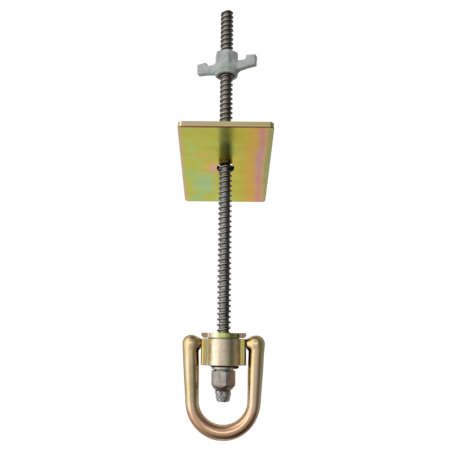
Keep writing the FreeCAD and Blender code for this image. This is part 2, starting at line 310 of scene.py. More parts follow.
def wing_nut_field(x, y, z):
    """Hex hub with a round skirt under it and two wings, all with a casting's uneven surface."""
    base = NUT_LOW
    hub = hexagon(x, y, HUB_FLATS, WING_TURN, 0.6)
    hub = smooth_meet(hub, np.maximum(base + 3 - z, z - NUT_HIGH), 0.9)
    crown = np.hypot(x, y) - HUB_CORNER_R + (z - NUT_HIGH + 0.7) * 1.1
    hub = smooth_meet(hub, crown * 0.7, 0.6)
    skirt = turned_profile(x, y, z, [
        (0, base + 0.8), (12.6, base + 0.8), (12.7, base + 3.2), (14.0, base + 6.3), (14.0, base + 9.4),
        (12.2, base + 12.0), (0, base + 12.0),
    ], 0.8)
    body = smooth_union(hub, skirt, 1.2)
    along = x * math.cos(WING_YAW) + y * math.sin(WING_YAW)
    across = -x * math.sin(WING_YAW) + y * math.cos(WING_YAW)
    reach = np.abs(along)
    arm = polygon(reach, z, [
        (6, base + 6.1), (15, base + 6.1), (27, base + 8.1), (36.6, base + 8.7),
        (36.9, base + 19.6), (27.2, base + 20.7), (26.8, base + 17.4), (24.8, base + 15.5),
        (17, base + 15.5), (13, base + 16.3), (6, base + 16.3),
    ])
    half = 2.6 + 3.2 * np.clip((19 - reach) / 12, 0, 1) ** 1.5
    body = smooth_union(body, rounded_slab(arm, np.abs(across) - half, 1.1), 2.8)
    # The uneven surface comes before the bore, so that the bore stays true.
    body = body + wobble(x, y, z, 5, 8.0, 0.09) + wobble(x, y, z, 6, 3.6, 0.02)
    body = smooth_cut(body, np.hypot(x, y) - BORE_R, 0.5)
    recess = np.maximum(np.hypot(x, y) - 10.0, z - base - 3.2)
    body = smooth_cut(body, recess, 0.9)
    return body


def leg_radius(t):
    """Section radius down a leg, t from the knuckle (0) to the bow (1)."""
    return 8.5 + 0.45 * np.exp(-(t / 0.11) ** 2) - 1.4 * np.clip((t - 0.35) / 0.65, 0, 1) ** 1.3


def bail_field(x, y, z):
    """U with straight legs and a round bow; shoulders lead from the legs to the pins."""
    ax = np.abs(x)
    (top_x, top_z), (foot_x, foot_z) = LEG_TOP, LEG_FOOT
    ex, ez = foot_x - top_x, foot_z - top_z
    t = np.clip(((ax - top_x) * ex + (z - top_z) * ez) / (ex * ex + ez * ez), 0, 1)
    leg = np.sqrt((ax - top_x - ex * t) ** 2 + y ** 2 + (z - top_z - ez * t) ** 2) - leg_radius(t)
    down = np.minimum(z - foot_z, 0)
    angle = np.arctan2(-down, ax)
    bow_r = LEG_FOOT_R + 1.0 * np.sin(angle) ** 2
    ring = np.sqrt((np.sqrt(ax ** 2 + down ** 2 + 1e-9) - foot_x) ** 2 + y ** 2) - bow_r
    foot = np.sqrt((ax - foot_x) ** 2 + y ** 2 + (z - foot_z) ** 2) - LEG_FOOT_R
    body = smooth_union(leg, np.where(z < foot_z, ring, foot), 0.6)
    shoulder_r = 5.3 + 2.5 * np.clip((ax - 25.0) / 6.5, 0, 1)
    shoulder = (np.hypot(y, z - PIN_Z + 0.7) - shoulder_r) * 0.93
    shoulder = np.maximum(shoulder, np.maximum(EYE_FACE - ax, ax - top_x))
    body = smooth_union(body, shoulder, 2.6)
    eyes = z > PIN_Z - EYE_DROP
    body = np.where(eyes, smooth_meet(body, EYE_FACE - ax, 0.3), body)
    pin = cylinder(y, z - PIN_Z, ax, PIN_R, PIN_END, 30.0, 0.7)
    body = np.where((ax < 26.6) & eyes, np.minimum(body, pin), body)
    return body + wobble(x, y, z, 9, 30.0, 0.06) * np.clip((ax - 26) / 6, 0, 1)


def housing_field(x, y, z):
    """Barrel with an ear on each side, bored for the sleeve and for the bail's pins."""
    middle = (HOUSING_LOW + HOUSING_HIGH) / 2
    half = (HOUSING_HIGH - HOUSING_LOW) / 2
    barrel = cylinder(x, y, z, BARREL_R, HOUSING_LOW, HOUSING_HIGH, 0.7)
    plan = rounded_box(x, y, z * 0, (EAR_REACH, EAR_HALF, 9), EAR_ROUND)  # its height is set by ends
    ends = np.abs(z - middle) - half
    ears = smooth_meet(plan, ends, 0.9)
    body = smooth_union(barrel, ears, 2.4)
    body = smooth_cut(body, np.hypot(x, y) - SLEEVE_HOLE_R, 0.5)
    pins = np.maximum(np.hypot(y, z - PIN_Z) - PIN_HOLE_R, PIN_HOLE_END - np.abs(x))
    return smooth_cut(body, pins, 0.5)


def bushing_field(x, y, z):
    """Flange with a round middle and two bevelled tabs, and the sleeve with its lip and ring groove."""
    disc = cylinder(x, y, z, FLANGE_R, FLANGE_LOW, FLANGE_HIGH, 0.45)
    tabs = polygon(np.abs(x), z, [(0, -0.3), (24.1, -0.3), (24.1, -3.0), (21.8, -5.0), (0, -5.0)])
    bar = rounded_slab(tabs, np.abs(y) - TAB_HALF, 0.3)
    sleeve = turned_profile(x, y, z, [
        (0, SLEEVE_LOW + 0.5), (10.9, SLEEVE_LOW + 0.5), (10.9, -38.2), (12.6, -38.2), (13.1, -37.6),
        (13.1, -36.5), (11.2, -36.5), (11.2, -34.3), (12.0, -34.3), (12.0, -1.5), (0, -1.5),
    ], 0.5)
    body = np.minimum(smooth_union(disc, bar, 0.5), sleeve)
    return smooth_cut(body, np.hypot(x, y) - BORE_R, 0.6)


def hex_nut_field(x, y, z):
    """Hex nut turned to a deep cone at the bottom and a small chamfer at the top."""
    sides = hexagon(x, y, HEX_FLATS, HEX_TURN, 0.5)
    envelope = turned_profile(x, y, z, [
        (0, HEX_LOW + 0.4), (9.2, HEX_LOW + 0.4), (13.5, HEX_LOW + 5.6), (13.5, HEX_HIGH - 1.3),
        (11.6, HEX_HIGH - 0.4), (0, HEX_HIGH - 0.4),
    ], 0.4)
    body = smooth_meet(sides, envelope, 0.5)
    return smooth_cut(body, np.hypot(x, y) - BORE_R, 0.6)


# Angle in degrees, height and radius of each lump of weld.
WELD_LUMPS = [(-70, -63.0, 1.6), (15, -65.9, 1.6), (130, -63.4, 1.7), (-150, -66.6, 1.6), (-35, -68.2, 1.3),
              (-110, -64.4, 1.4), (60, -64.2, 1.5), (-15, -62.9, 1.4), (-85, -69.8, 1.1), (95, -68.0, 1.5)]
LUMP_OUT = 6.8  # how far from the axis their centres are


def weld_field(x, y, z):
    """Weld run down over the rod's end: a tapering core with lumps and ripples on it."""
    r = np.hypot(x, y)
    core = polygon(r, z, [
        (0, WELD_HIGH), (7.4, WELD_HIGH), (8.2, -62.0), (8.2, -64.2), (7.8, -66.8), (7.3, -69.4),
        (6.8, -71.6), (5.9, -72.5), (0, -72.5),
    ]) - 0.25
    for angle, height, size in WELD_LUMPS:
        a = math.radians(angle)
        away_x, away_y = x - LUMP_OUT * math.cos(a), y - LUMP_OUT * math.sin(a)
        ball = np.sqrt(away_x ** 2 + away_y ** 2 + (z - height) ** 2) - size
        core = smooth_union(core, ball, 1.0)
    core = core + wobble(x, y, z * 0.45, 21, 3.2, 0.16) + wobble(x * 1.6, y * 1.6, z * 0.6, 22, 1.8, 0.08)
    return np.maximum(core, z - WELD_HIGH)


CREST_HALF = 0.105  # half a crest's width and a flank's width, as shares of the pitch
FLANK = 0.145


def thread_radius(turn):
    """Coil rod's radius at this fraction of a turn from the crest."""
    turn = np.abs((turn + 0.5) % 1 - 0.5)
    s = np.clip((turn - CREST_HALF) / FLANK, 0, 1)
    s = s * s * (3 - 2 * s)
    crest = MAJOR_R - 0.15 * np.minimum(turn / CREST_HALF, 1) ** 2
    return crest * (1 - s) + ROOT_R * s


ROD_AROUND = 56  # vertices in a ring
ROD_RISE = 0.32  # from one ring to the next


def coil_rod_mesh():
    """Rolled coil rod: rings of vertices up the axis, each following the right-hand thread."""
    around = ROD_AROUND
    low, high = HEX_LOW - 1.3, ROD_HIGH  # its lower end is inside the weld
    rows = int((high - low) / (ROD_RISE * COARSE)) + 1
    z = np.linspace(low, high, rows)[:, None]
    theta = (np.arange(around) * 2 * math.pi / around)[None, :]
    r = thread_radius(theta / (2 * math.pi) - (z - THREAD_START) / PITCH)
    rough = wobble(np.cos(theta) * 8, np.sin(theta) * 8, z, 31, 9.0, 0.07)
    fine = wobble(np.cos(theta) * 8, np.sin(theta) * 8, z, 32, 2.8, 0.035)
    r = np.minimum(r - 0.06 + rough + fine, MAJOR_R)
    from_top = high - z  # the top end is rounded over
    r = np.minimum(r, MAJOR_R - 1.35 + np.sqrt(np.clip(from_top * 2.2, 0, 9)))
    points = np.stack([r * np.cos(theta), r * np.sin(theta), z + 0 * theta], 2).reshape(-1, 3)
    faces = []
    for row in range(rows - 1):
        a = row * around
        for k in range(around):
            n = (k + 1) % around
            faces.append((a + k, a + n, a + around + n, a + around + k))
    points = points.tolist()
    points += [[0, 0, low], [0, 0, high]]  # the middles of the two end caps
    bottom, top = len(points) - 2, len(points) - 1
    last = (rows - 1) * around
    for k in range(around):
        n = (k + 1) % around
        faces.append((bottom, n, k))
        faces.append((top, last + k, last + n))
    return np.array(points), faces


# ---------------------------------------------------------------- materials

NOISE_RANGE = (0.3, 0.7)  # where nearly all of a noise's values lie


class Look:
    """A node material being built; colours are linear RGB and positions are in metres."""

    def __init__(self, name, metallic, roughness):
        self.material = bpy.data.materials.new(name)
        self.material.use_nodes = True
        self.tree = self.material.node_tree
        self.shader = self.tree.nodes["Principled BSDF"]
        self.shader.inputs["Metallic"].default_value = metallic
        self.shader.inputs["Roughness"].default_value = roughness
        self.place = self.tree.nodes.new("ShaderNodeTexCoord").outputs["Object"]

    def node(self, kind, inputs=(), **settings):
        """A new node with its inputs and settings given."""
        made = self.tree.nodes.new(kind)
        for key, value in settings.items():
            setattr(made, key, value)
        for key, value in dict(inputs).items():
            self.put(made.inputs[key], value)
        return made

    def put(self, socket, value):
        """Link a socket into this one, or set its value; a colour may leave out its alpha."""
        if isinstance(value, bpy.types.NodeSocket):
            self.tree.links.new(value, socket)
        elif isinstance(value, tuple) and len(value) == 3 and socket.type == "RGBA":
            socket.default_value = (*value, 1)
        else:
            socket.default_value = value

    def stretched(self, scale, offset=(0, 0, 0)):
        """The object's coordinates scaled, so that a noise is drawn out along its smaller numbers."""
        made = self.node("ShaderNodeMapping", {"Vector": self.place, "Scale": scale, "Location": offset})
        return made.outputs[0]

    def noise(self, scale, detail=3.0, rough=0.55, warp=0.0, vector=None):
        made = self.node("ShaderNodeTexNoise", {
            "Vector": vector or self.place, "Scale": scale, "Detail": detail,
            "Roughness": rough, "Distortion": warp,
        })
        return made.outputs["Fac"]

    def ramp(self, fac, *stops):
        """Colours or greys at (position, value) stops."""
        made = self.node("ShaderNodeValToRGB", {"Fac": fac})
        band = made.color_ramp
        while len(band.elements) < len(stops):
            band.elements.new(0.5)
        for element, (position, value) in zip(band.elements, stops):
            element.position = position
            element.color = (*value, 1) if isinstance(value, tuple) else (value, value, value, 1)
        return made.outputs["Color"]

    def mix(self, fac, a, b, blend="MIX"):
        made = self.node("ShaderNodeMix", data_type="RGBA", blend_type=blend)
        for socket, value in zip([made.inputs[0], made.inputs[6], made.inputs[7]], (fac, a, b)):
            self.put(socket, value)
        return made.outputs[2]

    def maths(self, operation, a, b=0.0):
        made = self.node("ShaderNodeMath", operation=operation)
        self.put(made.inputs[0], a)
        self.put(made.inputs[1], b)
        return made.outputs[0]

    def times(self, a, b):
        return self.maths("MULTIPLY", a, b)

    def plus(self, a, b):
        return self.maths("ADD", a, b)

    def minus(self, a, b):
        return self.maths("SUBTRACT", a, b)

    def magnitude(self, a):
        return self.maths("ABSOLUTE", a)

    def distance(self, a, b):
        """The length of (a, b)."""
        return self.maths("SQRT", self.plus(self.times(a, a), self.times(b, b)))

    def tinted(self, colour, mask, share, tint):
        """The colour with this share of the tint where the mask is 1."""
        return self.mix(self.times(mask, share), colour, tint)

    def spread(self, value, low, high, to_low=0.0, to_high=1.0, smooth=True):
        """The value from low to high laid out from to_low to to_high, and held beyond them."""
        made = self.node("ShaderNodeMapRange", {
            "Value": value, "From Min": low, "From Max": high, "To Min": to_low, "To Max": to_high,
        }, interpolation_type="SMOOTHSTEP" if smooth else "LINEAR")
        return made.outputs[0]

    def falling(self, value, low, high):
        """1 up to low, 0 from high on."""
        return self.spread(value, low, high, 1.0, 0.0)

    def varied(self, noise, low, high):
        """A noise's usual range laid out from low to high."""
        return self.spread(noise, *NOISE_RANGE, low, high)

    def axes(self):
        """Object x, y and z, in metres, in the shared frame."""
        made = self.node("ShaderNodeSeparateXYZ", {"Vector": self.place})
        return made.outputs[0], made.outputs[1], made.outputs[2]

    def bump(self, height, strength, distance, normal=None):
        inputs = {"Height": height, "Strength": strength, "Distance": distance}
        if normal is not None:
            inputs["Normal"] = normal
        return self.node("ShaderNodeBump", inputs).outputs[0]

    def finish(self, colour, roughness=None, normal=None):
        self.put(self.shader.inputs["Base Color"], colour)
        if roughness is not None:
            self.put(self.shader.inputs["Roughness"], roughness)
        if normal is not None:
            self.put(self.shader.inputs["Normal"], normal)
        return self.material


def forged_chromate():
    """Bail: gold and cream legs, pinker bow; painted reflection in orange-gold on the inner sides and above
    the pins, painted shade in brown under the pins, and painted olive shade on the rims and down the right
    leg's outer side.
    """
    look = Look("gold_chromate_forging", 1.0, 0.2)
    look.shader.inputs["Specular Tint"].default_value = (0.20, 0.15, 0.04, 1.0)
    x, _, z = look.axes()
    clouds = look.noise(34, 3, 0.5, 0.6)
    colour = look.ramp(clouds, (0.30, (0.68, 0.52, 0.28)), (0.46, (0.80, 0.64, 0.42)),
                       (0.58, (0.82, 0.62, 0.46)), (0.72, (0.68, 0.60, 0.33)))
    pink = look.spread(look.noise(21, 2, 0.5, 0.3, look.stretched((1, 1, 0.6), (0.4, 0.1, 0.2))), 0.5, 0.68)
    colour = look.tinted(colour, pink, 0.35, (0.82, 0.56, 0.42))
    knuckle = look.spread(look.plus(z, look.varied(clouds, -0.006, 0.006)), -0.040, -0.018)
    colour = look.tinted(colour, knuckle, 0.6, (0.80, 0.60, 0.29))
    bow = look.falling(look.plus(z, look.varied(look.noise(28, 2), -0.006, 0.006)), -0.090, -0.076)
    colour = look.tinted(colour, bow, 0.85, (0.80, 0.47, 0.32))
    # Painted shade: the right leg's outer side turns dark olive.
    colour = look.mix(look.spread(x, 0.0385, 0.0435, 0.0, 0.6), colour, (0.64, 0.54, 0.20))
    # Painted reflection: the inner sides of the legs, towards the pins, tinted orange-gold like the housing
    # beside them.
    inner = look.falling(look.magnitude(x), 0.0288, 0.0325)
    inner = look.times(inner, look.spread(z, -0.075, -0.030, 0.2, 1.0))
    colour = look.tinted(colour, inner, 0.75, (0.88, 0.56, 0.20))
    # Painted shade: surfaces seen at a grazing angle turn dark olive.
    rim = look.node("ShaderNodeLayerWeight", {"Blend": 0.32}).outputs["Facing"]
    colour = look.tinted(colour, look.spread(rim, 0.38, 0.92), 0.85, (0.34, 0.28, 0.09))
    # Painted light and shade next to the pins: an orange-gold painted reflection above, dark brown painted
    # shade beneath.
    inward = look.falling(look.magnitude(x), 0.0290, 0.0312)
    pin = look.times(inward, look.spread(z, -0.026, -0.019))
    shade_under_pins = look.falling(z, -0.0170, -0.0150)
    colour = look.tinted(colour, pin, 0.85, look.mix(shade_under_pins, (0.92, 0.68, 0.34), (0.24, 0.13, 0.03)))
    specks = look.spread(look.noise(800, 2, 0.6), 0.62, 0.74)
    colour = look.tinted(colour, specks, 0.18, (0.36, 0.24, 0.11))
    rough = look.plus(look.varied(look.noise(160, 4, 0.6), 0.15, 0.24), look.times(knuckle, 0.12))
    normal = look.bump(look.noise(420, 3, 0.55), 0.06, 0.0003, look.bump(look.noise(80, 2, 0.5), 0.10, 0.001))
    return look.finish(colour, rough, normal)


def machined_chromate():
    """Housing: turned barrel with a painted cream highlight at the left, a greyer band of painted shade down
    the middle and painted brown shade at the right, with streaks of green and pink chromate; a dark line of
    painted shade in the corner at the left ear; upright bands of painted reflection on the ears, different at
    the left and the right and darkening as painted shade at their outer ends; a rosy foot."""
    look = Look("gold_chromate_turned", 1.0, 0.26)
    x, _, z = look.axes()
    clouds = look.noise(46, 3, 0.5, 0.8, look.stretched((1, 1, 0.45)))
    colour = look.ramp(clouds, (0.32, (0.70, 0.61, 0.36)), (0.47, (0.84, 0.72, 0.48)),
                       (0.58, (0.84, 0.66, 0.54)), (0.70, (0.62, 0.60, 0.31)))
    # Painted highlight: the barrel's left side lightened towards cream.
    left_highlight = look.times(look.spread(x, -0.0152, -0.0132), look.falling(x, -0.0110, -0.0080))
    colour = look.tinted(colour, left_highlight, 0.85, (1.0, 0.92, 0.76))
    upright = look.stretched((1, 1, 0.22), (0.2, 0.3, 0.1))
    green = look.spread(look.noise(170, 3, 0.55, 0.4, upright), 0.49, 0.63)
    colour = look.tinted(colour, green, 0.7, (0.56, 0.56, 0.20))
    rosy = look.spread(look.noise(120, 3, 0.5, 0.5, look.stretched((1, 1, 0.3), (0.7, 0.1, 0.5))), 0.50, 0.66)
    colour = look.tinted(colour, rosy, 0.5, (0.88, 0.62, 0.52))
    # Painted shade: a greyer, darker band down the middle of the barrel.
    middle = look.times(look.spread(x, -0.0075, -0.0035), look.falling(x, 0.001, 0.005))
    colour = look.tinted(colour, middle, 0.5, (0.60, 0.56, 0.43))
    shade = look.spread(x, 0.004, 0.015)
    colour = look.tinted(colour, shade, 0.75, (0.72, 0.60, 0.30))
    # Painted shade: a dark line in the corner where the barrel meets the left ear.
    colour = look.mix(look.spread(x, -0.0160, -0.0140, 0.65, 0), colour, (0.34, 0.33, 0.16))
    lines = look.spread(look.noise(520, 2, 0.6, 0, look.stretched((0.03, 0.03, 1))), 0.42, 0.62, 0.94, 1.0)
    colour = look.mix(1.0, colour, look.ramp(lines, (0.0, 0.0), (1.0, 1.0)), "MULTIPLY")
    # Painted reflections: upright bands across the ears, different at the left and the right, and painted
    # shade darkening them towards their outer ends.
    outward = look.plus(look.magnitude(x), look.varied(look.noise(90, 2), -0.0003, 0.0003))
    stripes = look.spread(outward, 0.0160, 0.0246, smooth=False)
    left = look.ramp(stripes, (0.0, (0.30, 0.26, 0.13)), (0.22, (0.34, 0.30, 0.15)),
                     (0.34, (0.52, 0.46, 0.20)), (0.62, (0.66, 0.50, 0.19)), (0.80, (0.80, 0.60, 0.18)),
                     (0.88, (0.44, 0.30, 0.06)), (0.97, (0.17, 0.10, 0.02)))
    right = look.ramp(stripes, (0.0, (0.50, 0.38, 0.15)), (0.20, (0.74, 0.58, 0.30)),
                      (0.40, (0.78, 0.58, 0.16)), (0.52, (0.54, 0.40, 0.10)), (0.64, (0.72, 0.62, 0.20)),
                      (0.82, (0.50, 0.42, 0.12)), (0.93, (0.07, 0.05, 0.0)))
    ears = look.mix(look.spread(x, -0.001, 0.001), left, right)
    colour = look.mix(look.spread(look.magnitude(x), 0.0160, 0.0176), colour, ears)
    foot = look.falling(z, -0.0345, -0.0265)
    colour = look.tinted(colour, foot, 0.4, look.mix(0.5, colour, (0.84, 0.60, 0.50)))
    turning = look.noise(1100, 2, 0.5, 0, look.stretched((0.02, 0.02, 1)))
    rough = look.varied(look.noise(210, 3, 0.6), 0.22, 0.34)
    normal = look.bump(turning, 0.07, 0.0002, look.bump(look.noise(300, 3, 0.6), 0.06, 0.0003))
    return look.finish(colour, rough, normal)


def flange_chromate():
    """Bushing: flange with a yellow-green middle that has a painted cream highlight at its left, and pinkish
    tabs, both darker at the right with painted shade, and a plain cream-grey end to the sleeve."""
    look = Look("yellow_green_chromate", 1.0, 0.24)
    x, _, z = look.axes()
    clouds = look.noise(60, 3, 0.5, 0.5)
    middle = look.ramp(clouds, (0.35, (0.54, 0.59, 0.21)), (0.52, (0.68, 0.71, 0.26)),
                       (0.68, (0.52, 0.50, 0.16)))
    # Painted highlight: the flange's middle lightened towards cream at its left.
    left_highlight = look.falling(look.plus(x, look.varied(clouds, -0.003, 0.003)), -0.0125, -0.0045)
    middle = look.mix(look.times(left_highlight, 0.8), middle, (0.86, 0.80, 0.66))
    # Painted shade: the flange's middle darkens to olive towards the right.
    middle = look.mix(look.spread(x, 0.004, 0.014, 0.0, 0.65), middle, (0.36, 0.33, 0.09))
    tabs = look.ramp(clouds, (0.35, (0.43, 0.28, 0.19)), (0.65, (0.51, 0.34, 0.24)))
    # Painted shade: the tabs darker towards the right.
    tabs = look.mix(look.spread(x, 0.0, 0.010, 0.0, 0.6), tabs, (0.28, 0.18, 0.11))
    side = look.spread(look.magnitude(x), 0.0168, 0.0182)
    colour = look.mix(side, middle, tabs)
    end = look.falling(z, -0.0345, -0.0335)
    colour = look.mix(end, colour, look.ramp(clouds, (0.35, (0.62, 0.58, 0.49)), (0.65, (0.74, 0.70, 0.61))))
    turning = look.noise(1000, 2, 0.5, 0, look.stretched((0.02, 0.02, 1)))
    rough = look.varied(look.noise(240, 3, 0.6), 0.18, 0.32)
    return look.finish(colour, rough, look.bump(turning, 0.10, 0.0002))


PLATE_MIDDLE = sum(corner.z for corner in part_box("bearing_plate")) / 2  # metres, as is the next
PLATE_FRONT = -0.0727  # where the front edge lies along the plate
PLATE_TILT = math.radians(19.5)


def plate_chromate():
    """Bearing plate: glossy yellow-green chromate with green, orange and pink interference patches.
    The pattern is laid out on the plate itself in metres: u across its tilted face, v along it from
    the rod towards the back, and height through its thickness."""
    look = Look("iridescent_chromate_plate", 1.0, 0.2)
    on_plate = look.node("ShaderNodeVectorRotate", {
        "Vector": look.place, "Center": (0.0, 0.0, PLATE_MIDDLE), "Angle": PLATE_TILT,
    }, rotation_type="X_AXIS").outputs[0]
    u, v, height = look.node("ShaderNodeSeparateXYZ", {"Vector": on_plate}).outputs
    height = look.minus(height, PLATE_MIDDLE)
    shifted = look.node("ShaderNodeMapping", {"Vector": on_plate, "Location": (0.3, 0.1, 0.0)}).outputs[0]

    def patch(value, centre, half, soft):
        """1 within half of the centre, falling to 0 over a soft edge."""
        inner = look.minus(half, look.magnitude(look.minus(value, centre)))
        return look.spread(inner, -soft, soft)

    drift = look.varied(look.noise(13, 2, 0.5, 0.2, on_plate), -0.0022, 0.0022)
    across = look.plus(u, drift)
    broad = look.noise(17, 3, 0.5, 1.1, on_plate)
    colour = look.ramp(broad, (0.34, (0.35, 0.50, 0.16)), (0.46, (0.45, 0.52, 0.12)),
                       (0.56, (0.50, 0.47, 0.07)), (0.68, (0.44, 0.50, 0.11)))
    warm_side = look.spread(across, -0.002, 0.020)
    colour = look.tinted(colour, warm_side, 0.7, (0.50, 0.39, 0.045))
    orange = patch(across, 0.0305, 0.0065, 0.0060)
    colour = look.tinted(colour, orange, 0.8, (0.62, 0.33, 0.075))
    pink = patch(across, 0.0405, 0.0044, 0.0056)
    pink = look.times(pink, look.spread(look.noise(60, 2, 0.5, 0.3, shifted), 0.25, 0.55, 0.62, 1.0))
    pinks = look.ramp(look.noise(30, 2, 0.5, 0.3, on_plate), (0.38, (0.60, 0.22, 0.20)),
                      (0.62, (0.56, 0.24, 0.30)))
    colour = look.tinted(colour, pink, 0.95, pinks)
    rim = look.spread(across, 0.0450, 0.0485)
    colour = look.tinted(colour, rim, 0.85, (0.31, 0.30, 0.15))
    green = look.times(look.spread(u, -0.046, -0.030), look.falling(u, -0.022, -0.008))
    green = look.times(green, look.spread(v, -0.005, 0.030))
    green = look.times(green, look.spread(look.noise(26, 2, 0.5, 0.5, shifted), 0.36, 0.54))
    colour = look.tinted(colour, green, 0.8, (0.32, 0.52, 0.25))
    cool = look.times(look.falling(u, -0.045, -0.015), look.falling(v, -0.070, -0.010))
    cool = look.times(cool, look.spread(look.noise(34, 2, 0.5, 0.5, on_plate), 0.46, 0.62))
    colour = look.tinted(colour, cool, 0.55, (0.38, 0.54, 0.29))
    left = look.times(patch(u, -0.0250, 0.0120, 0.0070), patch(v, -0.0260, 0.0030, 0.0060))
    left = look.times(left, look.spread(look.noise(70, 2, 0.5, 0.4, shifted), 0.36, 0.56))
    colour = look.tinted(colour, left, 0.7, (0.66, 0.40, 0.12))
    gold = look.times(patch(u, -0.006, 0.016, 0.014), patch(v, -0.004, 0.012, 0.012))
    gold = look.times(gold, look.spread(look.noise(48, 2, 0.5, 0.5, shifted), 0.36, 0.58))
    colour = look.tinted(colour, gold, 0.75, (0.62, 0.40, 0.07))
    halo = look.times(patch(u, -0.0170, 0.0085, 0.0060), patch(v, 0.0010, 0.0080, 0.0090))
    colour = look.tinted(colour, halo, 0.75, (0.68, 0.42, 0.10))
    blotch = look.times(patch(u, -0.0132, 0.0044, 0.0040), patch(v, 0.0010, 0.0068, 0.0070))
    colour = look.tinted(colour, blotch, 0.85, (0.66, 0.36, 0.36))
    drawn_out = look.node("ShaderNodeMapping", {"Vector": on_plate, "Scale": (0.12, 1.0, 1.0)}).outputs[0]
    streaks = look.noise(90, 3, 0.5, 0.2, drawn_out)
    colour = look.mix(look.spread(streaks, 0.42, 0.66, 0.0, 0.14), colour, (0.34, 0.30, 0.06))
    border = look.falling(look.minus(u, look.varied(look.noise(40, 2), -0.0006, 0.0006)), -0.0492, -0.0468)
    colour = look.tinted(colour, border, 0.75, (0.62, 0.38, 0.24))
    near = look.falling(v, PLATE_FRONT + 0.0015, PLATE_FRONT + 0.0050)
    colour = look.tinted(colour, near, 0.6, (0.60, 0.41, 0.10))
    front = look.falling(v, PLATE_FRONT + 0.0007, PLATE_FRONT + 0.0010)
    front_tint = look.ramp(look.noise(50, 2, 0.5, 0, on_plate), (0.35, (0.98, 0.74, 0.42)),
                           (0.65, (0.98, 0.88, 0.33)))
    front_tint = look.mix(look.spread(height, -0.0010, 0.0030), front_tint, (0.94, 0.84, 0.48))
    front_tint = look.mix(look.spread(u, -0.040, -0.015, 0.6, 0), front_tint, (0.92, 0.70, 0.58))
    front_tint = look.mix(look.spread(u, 0.018, 0.040, 0.0, 0.7), front_tint, (0.94, 0.72, 0.34))
    front_tint = look.mix(patch(height, -0.0022, 0.0006, 0.0004), front_tint, (1.0, 0.92, 0.50))
    colour = look.mix(front, colour, front_tint)
    # Painted shade: a dark red-brown line along the lower corner of the front edge.
    crease = look.times(look.falling(v, PLATE_FRONT + 0.0014, PLATE_FRONT + 0.0022),
                        look.falling(height, -0.0034, -0.0029))
    colour = look.tinted(colour, crease, 0.85, (0.26, 0.10, 0.04))
    # Painted shade: the hole's wall is near black.
    hole = look.falling(look.distance(u, v), 0.01020, 0.01035)
    colour = look.mix(hole, colour, (0.05, 0.04, 0.02))
    look.put(look.shader.inputs["Metallic"], look.minus(1.0, hole))
    look.shader.inputs["Specular IOR Level"].default_value = 0.0
    rough = look.plus(look.varied(look.noise(70, 4, 0.6, 0, on_plate), 0.14, 0.24), look.times(hole, 0.6))
    mill = look.noise(260, 3, 0.55, 0, on_plate)
    normal = look.bump(mill, 0.06, 0.0004, look.bump(look.noise(22, 1, 0.5, 0, on_plate), 0.06, 0.003))
    return look.finish(colour, rough, normal)


def rolled_steel():
    """Rod: worn grey crests, dark scale on the flanks that also stands for painted shade, greyer roots;
    browner towards the top, and darker with painted shade down its left edge and over its right side."""
    look = Look("rolled_steel_rod", 1.0, 0.36)
    x, y, z = look.axes()
    radius = look.distance(x, y)
    ragged = look.plus(radius, look.varied(look.noise(420, 3, 0.6), -0.0003, 0.0003))
    crest = look.spread(ragged, 0.0069, 0.0075)
    root = look.falling(ragged, 0.0060, 0.0064)
    # The flanks, between root and crest, get dark scale that also stands for painted shade there.
    scale = look.ramp(look.noise(150, 4, 0.6), (0.35, (0.05, 0.045, 0.042)), (0.65, (0.12, 0.108, 0.10)))
    floor_tint = look.ramp(look.noise(130, 4, 0.6), (0.35, (0.17, 0.16, 0.15)), (0.65, (0.31, 0.30, 0.28)))
    worn = look.ramp(look.noise(120, 4, 0.6, 0, look.stretched((1, 1, 0.5))), (0.34, (0.34, 0.32, 0.29)),
                     (0.52, (0.52, 0.50, 0.465)), (0.68, (0.40, 0.375, 0.34)))
    colour = look.mix(root, scale, floor_tint)
    colour = look.mix(crest, colour, worn)
    rust = look.spread(look.noise(60, 3, 0.6), 0.58, 0.74)
    colour = look.tinted(colour, rust, 0.22, (0.34, 0.22, 0.15))
    brown = look.spread(z, 0.12, 0.26, 0.0, 0.5)
    colour = look.mix(brown, colour, look.mix(1.0, colour, (1.0, 0.88, 0.80), "MULTIPLY"))
    # Painted shade: darker down the rod's left edge and over its right side.
    colour = look.mix(look.spread(x, -0.0068, -0.0045, 0.6, 0), colour, (0.09, 0.085, 0.08))
    edge = look.plus(x, look.varied(look.noise(300, 3, 0.6), -0.0010, 0.0010))
    colour = look.mix(look.spread(edge, 0.0010, 0.0048, 0.0, 0.8), colour, (0.06, 0.055, 0.05))
    rough = look.varied(look.noise(240, 3, 0.6), 0.28, 0.42)
    uneven = look.bump(look.noise(260, 3, 0.6), 0.2, 0.0005)
    normal = look.bump(look.noise(900, 4, 0.65), 0.18, 0.0003, uneven)
    return look.finish(colour, rough, normal)


def galvanised_casting():
    """Wing nut: matte light grey zinc over sand-cast iron."""
    look = Look("galvanised_casting", 0.0, 0.66)
    mottled = look.noise(90, 3, 0.5, 0.4)
    colour = look.ramp(mottled, (0.32, (0.37, 0.405, 0.395)), (0.5, (0.48, 0.515, 0.50)),
                       (0.68, (0.56, 0.60, 0.58)))
    grime = look.spread(look.noise(150, 3, 0.55), 0.58, 0.74)
    colour = look.tinted(colour, grime, 0.3, (0.15, 0.155, 0.15))
    uneven = look.bump(look.noise(220, 2, 0.5), 0.10, 0.0006)
    normal = look.bump(look.noise(700, 2, 0.5), 0.05, 0.0003, uneven)
    rough = look.varied(mottled, 0.58, 0.76)
    return look.finish(colour, rough, normal)


